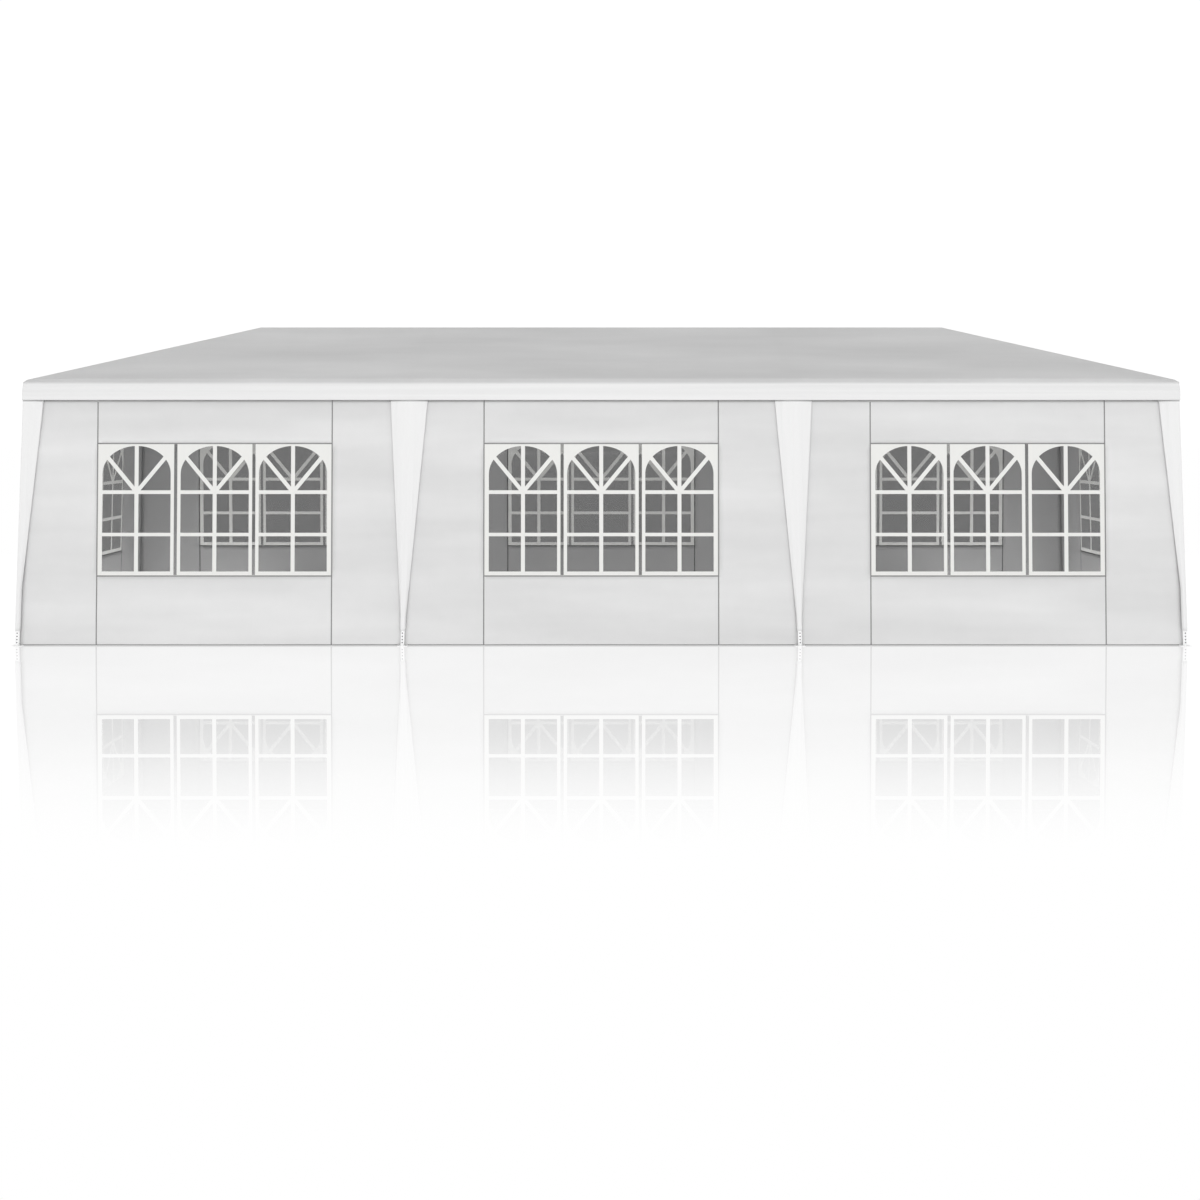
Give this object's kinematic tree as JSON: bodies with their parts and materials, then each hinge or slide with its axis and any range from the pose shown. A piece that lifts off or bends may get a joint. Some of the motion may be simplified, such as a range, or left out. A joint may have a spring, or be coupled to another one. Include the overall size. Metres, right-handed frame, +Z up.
{
  "type": "marquee tent",
  "caption": "White party tent with a hipped roof on a steel tube frame, fabric walls with arched clear windows, a valance and tapered leg drapes",
  "frame": {"origin": "on the ground under the middle of the tent", "axes": "+X runs along the long side to the right, -Y is the front, +Z is up"},
  "size_m": [9.175, 3.175, 2.5849],
  "materials": {
    "roof_fabric": "coated woven polyethylene, satin white",
    "valance_fabric": "coated woven polyethylene, satin white",
    "wall_fabric": "coated woven polyethylene, satin white",
    "drape_fabric": "coated woven polyethylene, satin white",
    "window_film": "clear soft film, glossy",
    "frame_steel": "white powder coat"
  },
  "bodies": {
    "root": {"front_roof_panel": "roof_fabric", "back_roof_panel": "roof_fabric", "left_roof_panel": "roof_fabric", "right_roof_panel": "roof_fabric", "front_valance": "valance_fabric", "back_valance": "valance_fabric", "left_valance": "valance_fabric", "right_valance": "valance_fabric", "front_left_wall": "wall_fabric", "front_middle_wall": "wall_fabric", "front_right_wall": "wall_fabric", "back_left_wall": "wall_fabric", "back_middle_wall": "wall_fabric", "back_right_wall": "wall_fabric", "left_end_wall": "wall_fabric", "right_end_wall": "wall_fabric", "front_left_window_film": "window_film", "front_middle_window_film": "window_film", "front_right_window_film": "window_film", "back_left_window_film": "window_film", "back_middle_window_film": "window_film", "back_right_window_film": "window_film", "left_end_window_film": "window_film", "right_end_window_film": "window_film", "front_left_drape": "drape_fabric", "front_middle_left_drape": "drape_fabric", "front_middle_right_drape": "drape_fabric", "front_right_drape": "drape_fabric", "back_left_drape": "drape_fabric", "back_middle_left_drape": "drape_fabric", "back_middle_right_drape": "drape_fabric", "back_right_drape": "drape_fabric", "front_left_leg": "frame_steel", "front_middle_left_leg": "frame_steel", "front_middle_right_leg": "frame_steel", "front_right_leg": "frame_steel", "back_left_leg": "frame_steel", "back_middle_left_leg": "frame_steel", "back_middle_right_leg": "frame_steel", "back_right_leg": "frame_steel", "front_eave_rail": "frame_steel", "back_eave_rail": "frame_steel", "left_eave_rail": "frame_steel", "right_eave_rail": "frame_steel", "ridge_pole": "frame_steel", "front_left_hip_rafter": "frame_steel", "front_right_hip_rafter": "frame_steel", "back_left_hip_rafter": "frame_steel", "back_right_hip_rafter": "frame_steel", "front_middle_left_rafter": "frame_steel", "front_middle_right_rafter": "frame_steel", "back_middle_left_rafter": "frame_steel", "back_middle_right_rafter": "frame_steel"}
  },
  "joints": []
}
